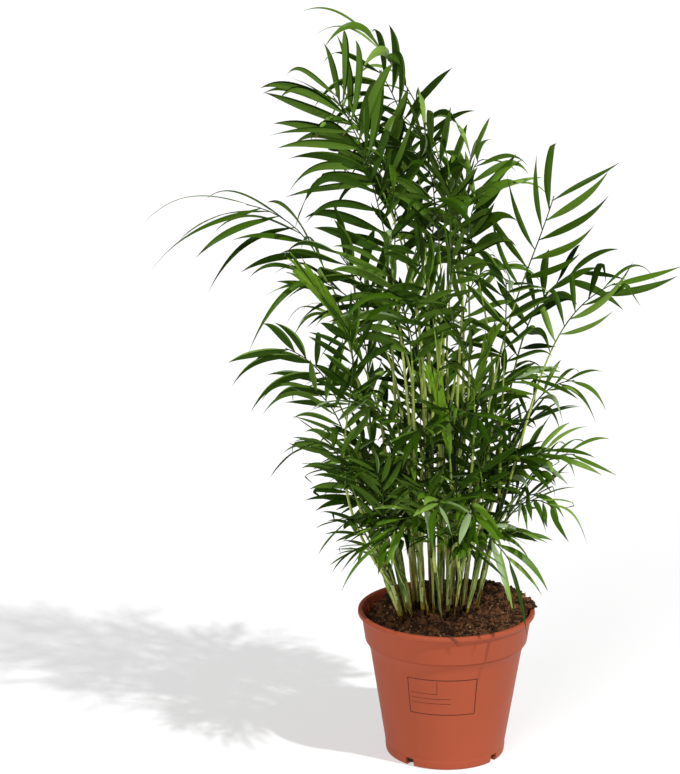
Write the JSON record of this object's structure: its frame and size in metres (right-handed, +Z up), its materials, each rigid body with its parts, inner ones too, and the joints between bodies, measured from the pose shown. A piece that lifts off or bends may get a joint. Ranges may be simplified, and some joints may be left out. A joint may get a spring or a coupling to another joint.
{
  "type": "parlour palm in a nursery pot",
  "caption": "Clump of slim sheathed palm canes with arching feathered fronds, standing in peat in a round tapered plastic pot.",
  "frame": {"origin": "middle of the pot's flat underside, on the surface that the pot stands on", "axes": "+Z up through the middle of the pot, -Y towards the front of the plant, +X to the right seen from the front"},
  "size_m": [0.4907, 0.3323, 0.7171],
  "materials": {
    "pot": "moulded terracotta-coloured plastic, satin",
    "soil": "loose dark peat with fibres and crumbs",
    "cane": "pale green leaf sheaths, browned at the foot",
    "leaf": "mid to dark green leaflets with a soft gloss",
    "young_leaf": "fresh yellow-green folded leaflets"
  },
  "bodies": {
    "root": {"pot": "pot", "soil": "soil", "cane-01": "cane", "cane-02": "cane", "cane-03": "cane", "cane-04": "cane", "cane-05": "cane", "cane-06": "cane", "cane-07": "cane", "cane-08": "cane", "cane-09": "cane", "cane-10": "cane", "cane-11": "cane", "cane-12": "cane", "cane-13": "cane", "frond-01": "leaf", "frond-02": "leaf", "frond-03": "leaf", "frond-04": "leaf", "frond-05": "leaf", "frond-06": "leaf", "frond-07": "leaf", "frond-08": "leaf", "frond-09": "leaf", "frond-10": "leaf", "frond-11": "leaf", "frond-12": "leaf", "frond-13": "leaf", "frond-14": "leaf", "frond-15": "leaf", "frond-16": "leaf", "frond-17": "leaf", "frond-18": "leaf", "frond-19": "young_leaf", "frond-20": "young_leaf", "frond-21": "young_leaf", "frond-22": "leaf", "frond-23": "leaf", "frond-24": "leaf", "frond-25": "leaf", "frond-26": "leaf", "frond-27": "leaf", "frond-28": "leaf", "frond-29": "leaf", "frond-30": "leaf", "frond-31": "leaf", "frond-32": "leaf", "frond-33": "leaf", "frond-34": "leaf", "frond-35": "leaf", "frond-36": "leaf", "frond-37": "leaf", "frond-38": "leaf", "frond-39": "leaf", "frond-40": "leaf", "frond-41": "leaf", "frond-42": "leaf", "frond-43": "leaf", "frond-44": "leaf", "frond-45": "leaf"}
  },
  "joints": []
}
